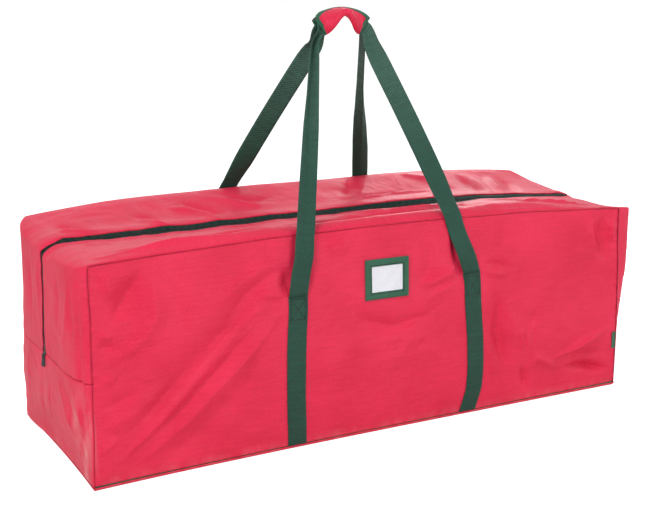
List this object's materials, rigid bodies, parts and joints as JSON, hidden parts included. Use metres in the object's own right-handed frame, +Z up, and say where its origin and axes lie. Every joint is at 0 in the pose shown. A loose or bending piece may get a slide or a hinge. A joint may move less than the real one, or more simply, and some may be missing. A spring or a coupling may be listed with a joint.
{
  "type": "christmas tree storage bag",
  "caption": "Long soft zipped storage bag for an artificial tree, with a box body, two webbing handles held by a wrap grip, and a card pocket.",
  "frame": {"origin": "middle of the bottom panel's underside, on the surface the bag stands on", "axes": "+X along the bag, from the end with the zip's slider to the other; -Y out of the front face with the card pocket; +Z up"},
  "size_m": [1.1978, 0.4581, 0.8005],
  "materials": {
    "red_cloth": "woven polyester, slight sheen",
    "green_webbing": "ribbed webbing",
    "green_binding": "folded binding tape",
    "zip_tape": "knitted tape",
    "zip_coil": "satin",
    "zip_metal": "black, worn",
    "green_thread": "sewing thread",
    "label_card": "matt card",
    "label_film": "clear film"
  },
  "bodies": {
    "root": {"front_panel": "red_cloth", "back_panel": "red_cloth", "bottom_panel": "red_cloth", "left_end_panel": "red_cloth", "right_end_panel": "red_cloth", "left_front_gusset": "red_cloth", "left_back_gusset": "red_cloth", "right_front_gusset": "red_cloth", "right_back_gusset": "red_cloth", "label_backing": "red_cloth", "label_welt": "red_cloth", "front_strap_left": "green_webbing", "front_strap_right": "green_webbing", "back_strap_left": "green_webbing", "back_strap_right": "green_webbing", "label_frame": "green_binding", "side_tag": "green_binding", "inner_binding_front": "green_binding", "inner_binding_back": "green_binding", "inner_binding_left": "green_binding", "inner_binding_right": "green_binding", "left_zip_tape_front": "zip_tape", "left_zip_tape_back": "zip_tape", "right_zip_tape_front": "zip_tape", "right_zip_tape_back": "zip_tape", "left_zip_coil_front": "zip_coil", "left_zip_coil_back": "zip_coil", "right_zip_coil_front": "zip_coil", "right_zip_coil_back": "zip_coil", "left_zip_stop": "zip_metal", "right_zip_stop": "zip_metal", "front_stitch_left": "green_thread", "front_stitch_right": "green_thread", "back_stitch_left": "green_thread", "back_stitch_right": "green_thread", "label_window": "label_film"},
    "front_lid": {"top_front_flap": "red_cloth", "top_zip_tape_front": "zip_tape", "top_zip_coil_front": "zip_coil"},
    "back_lid": {"top_back_flap": "red_cloth", "top_zip_tape_back": "zip_tape", "top_zip_coil_back": "zip_coil"},
    "zip_slider": {"slider_body": "zip_metal", "slider_bail": "zip_metal"},
    "pull_tab": {"zip_pull": "zip_metal"},
    "front_handle": {"front_handle_web": "green_webbing"},
    "back_handle": {"back_handle_web": "green_webbing", "grip_pad": "red_cloth", "grip_fold": "red_cloth", "loop_strip": "zip_tape", "grip_pad_binding_left": "green_binding", "grip_pad_binding_right": "green_binding", "grip_pad_binding_edge": "green_binding"},
    "wrap_flap": {"wrap_flap_pad": "red_cloth", "hook_strip": "zip_tape", "wrap_flap_binding_left": "green_binding", "wrap_flap_binding_right": "green_binding", "wrap_flap_binding_edge": "green_binding"},
    "card_insert": {"label_card": "label_card"}
  },
  "joints": [
    {"name": "front_lid_fold", "type": "hinge", "parent": "root", "child": "front_lid", "pos_m": [0, -0.1985, 0.4013], "axis": [-1, 0, 0], "range_deg": [0, 75]},
    {"name": "back_lid_fold", "type": "hinge", "parent": "root", "child": "back_lid", "pos_m": [0, 0.1985, 0.4037], "axis": [1, 0, 0], "range_deg": [0, 75]},
    {"name": "slider_run", "type": "slide", "parent": "root", "child": "zip_slider", "axis": [0, 0, 1], "range_m": [0, 0.158]},
    {"name": "pull_swing", "type": "hinge", "parent": "zip_slider", "child": "pull_tab", "pos_m": [-0.5982, 0, 0.1993], "axis": [0, 1, 0], "range_deg": [0, 160]},
    {"name": "front_handle_swing", "type": "hinge", "parent": "root", "child": "front_handle", "pos_m": [0, -0.221, 0.296], "axis": [1, 0, 0], "range_deg": [0, 135]},
    {"name": "back_handle_swing", "type": "hinge", "parent": "root", "child": "back_handle", "pos_m": [0, 0.22675, 0.296], "axis": [-1, 0, 0], "range_deg": [0, 135]},
    {"name": "wrap_flap_fold", "type": "hinge", "parent": "back_handle", "child": "wrap_flap", "pos_m": [0.0195, -0.013, 0.743], "axis": [1, 0, 0], "range_deg": [0, 95]},
    {"name": "card_slide", "type": "slide", "parent": "root", "child": "card_insert", "axis": [0, 0.1135, 0.9935], "range_m": [0, 0.05]}
  ]
}
